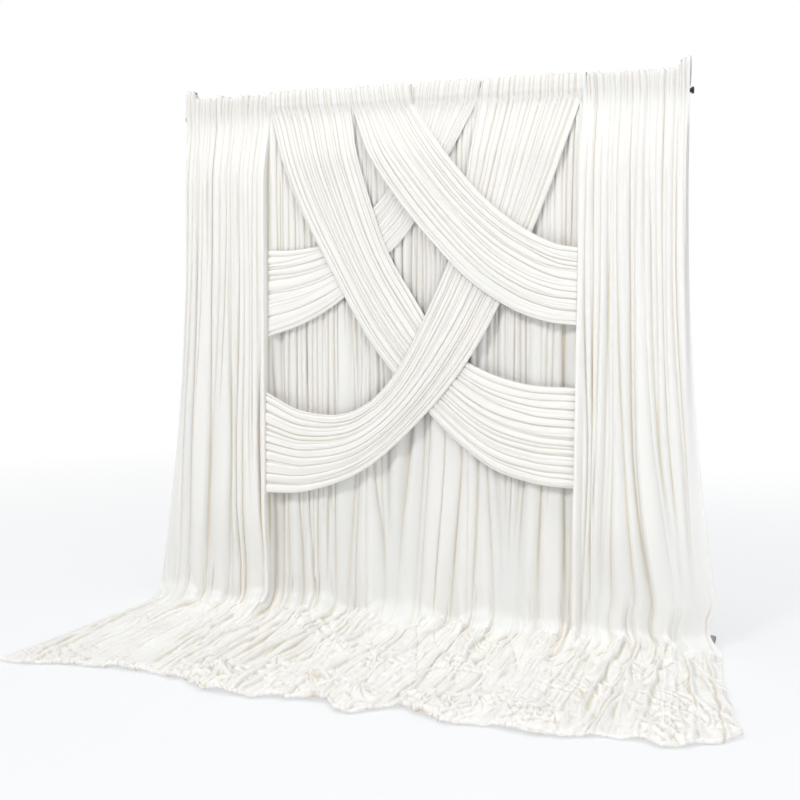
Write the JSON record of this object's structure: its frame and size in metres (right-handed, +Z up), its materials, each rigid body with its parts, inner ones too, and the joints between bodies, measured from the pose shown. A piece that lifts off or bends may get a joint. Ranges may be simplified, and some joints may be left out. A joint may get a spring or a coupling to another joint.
{
  "type": "pipe and drape backdrop",
  "caption": "Free-standing backdrop: telescopic posts on square plates carry a crossbar with gathered white drapes, crossed pleated swags and a long train on the floor.",
  "frame": {"origin": "on the floor, under the middle of the whole object's box", "axes": "+X along the crossbar, from left to right as the audience sees it; +Y from the audience to the back; +Z up"},
  "size_m": [3.676, 1.655, 3.096],
  "materials": {
    "white_cloth": "soft stretch cloth with a fine knit, matt",
    "base_plate_paint": "black powder coat, fine texture",
    "black_tube": "black anodised, satin",
    "black_plastic": "moulded nylon, fine grain",
    "black_rubber": "matt rubber",
    "zinc_steel": "bright zinc plate",
    "bare_aluminium": "mill finish",
    "nylon": "natural nylon"
  },
  "bodies": {
    "stand": {"left_base_plate": "base_plate_paint", "left_rubber_foot_front_left": "black_rubber", "left_rubber_foot_front_right": "black_rubber", "left_rubber_foot_back_left": "black_rubber", "left_rubber_foot_back_right": "black_rubber", "left_base_bolt": "zinc_steel", "left_base_spigot": "base_plate_paint", "left_lower_tube": "black_tube", "left_lock_collar": "black_plastic", "right_base_plate": "base_plate_paint", "right_rubber_foot_front_left": "black_rubber", "right_rubber_foot_front_right": "black_rubber", "right_rubber_foot_back_left": "black_rubber", "right_rubber_foot_back_right": "black_rubber", "right_base_bolt": "zinc_steel", "right_base_spigot": "base_plate_paint", "right_lower_tube": "black_tube", "right_lock_collar": "black_plastic", "train_left": "white_cloth", "train_centre": "white_cloth", "train_right": "white_cloth"},
    "raised_frame": {"left_guide_bush": "nylon", "left_upper_tube": "black_tube", "left_post_cap": "black_plastic", "left_crossbar_bracket": "black_tube", "left_crossbar_joiner": "bare_aluminium", "left_joiner_rivet": "bare_aluminium", "right_guide_bush": "nylon", "right_upper_tube": "black_tube", "right_post_cap": "black_plastic", "right_crossbar_bracket": "black_tube", "right_crossbar_joiner": "bare_aluminium", "right_joiner_rivet": "bare_aluminium", "crossbar_section_left": "black_tube", "crossbar_section_middle": "black_tube", "crossbar_section_right": "black_tube", "back_drape": "white_cloth", "side_drape_left": "white_cloth", "side_drape_right": "white_cloth", "swag_upper_left": "white_cloth", "swag_lower_right": "white_cloth", "swag_lower_left": "white_cloth", "swag_upper_right": "white_cloth"},
    "left_lock_knob": {"left_lock_knob_grip": "black_plastic", "left_lock_knob_stud": "zinc_steel"},
    "left_bracket_knob": {"left_bracket_knob_grip": "black_plastic", "left_bracket_knob_stud": "zinc_steel"},
    "left_spring_button": {"left_snap_button": "zinc_steel"},
    "right_lock_knob": {"right_lock_knob_grip": "black_plastic", "right_lock_knob_stud": "zinc_steel"},
    "right_bracket_knob": {"right_bracket_knob_grip": "black_plastic", "right_bracket_knob_stud": "zinc_steel"},
    "right_spring_button": {"right_snap_button": "zinc_steel"}
  },
  "joints": [
    {"name": "height_slide", "type": "slide", "parent": "stand", "child": "raised_frame", "axis": [0, 0, 1], "range_m": [-1.05, 0], "deforming": ["back_drape", "side_drape_left", "side_drape_right", "swag_upper_left", "swag_lower_right", "swag_lower_left", "swag_upper_right"]},
    {"name": "left_lock_knob_turn", "type": "hinge", "parent": "stand", "child": "left_lock_knob", "pos_m": [-1.425, 0.6025, 1.743], "axis": [0, 1, 0], "continuous": true},
    {"name": "left_bracket_knob_turn", "type": "hinge", "parent": "raised_frame", "child": "left_bracket_knob", "pos_m": [-1.425, 0.6025, 2.925], "axis": [-1, 0, 0], "continuous": true},
    {"name": "left_spring_button_press", "type": "slide", "parent": "raised_frame", "child": "left_spring_button", "axis": [0, 0, 1], "range_m": [0, 0.004], "stiffness_N_per_m": 900, "springref_m": -0.002},
    {"name": "right_lock_knob_turn", "type": "hinge", "parent": "stand", "child": "right_lock_knob", "pos_m": [1.425, 0.6025, 1.743], "axis": [0, 1, 0], "continuous": true},
    {"name": "right_bracket_knob_turn", "type": "hinge", "parent": "raised_frame", "child": "right_bracket_knob", "pos_m": [1.425, 0.6025, 2.925], "axis": [1, 0, 0], "continuous": true},
    {"name": "right_spring_button_press", "type": "slide", "parent": "raised_frame", "child": "right_spring_button", "axis": [0, 0, 1], "range_m": [0, 0.004], "stiffness_N_per_m": 900, "springref_m": -0.002}
  ]
}
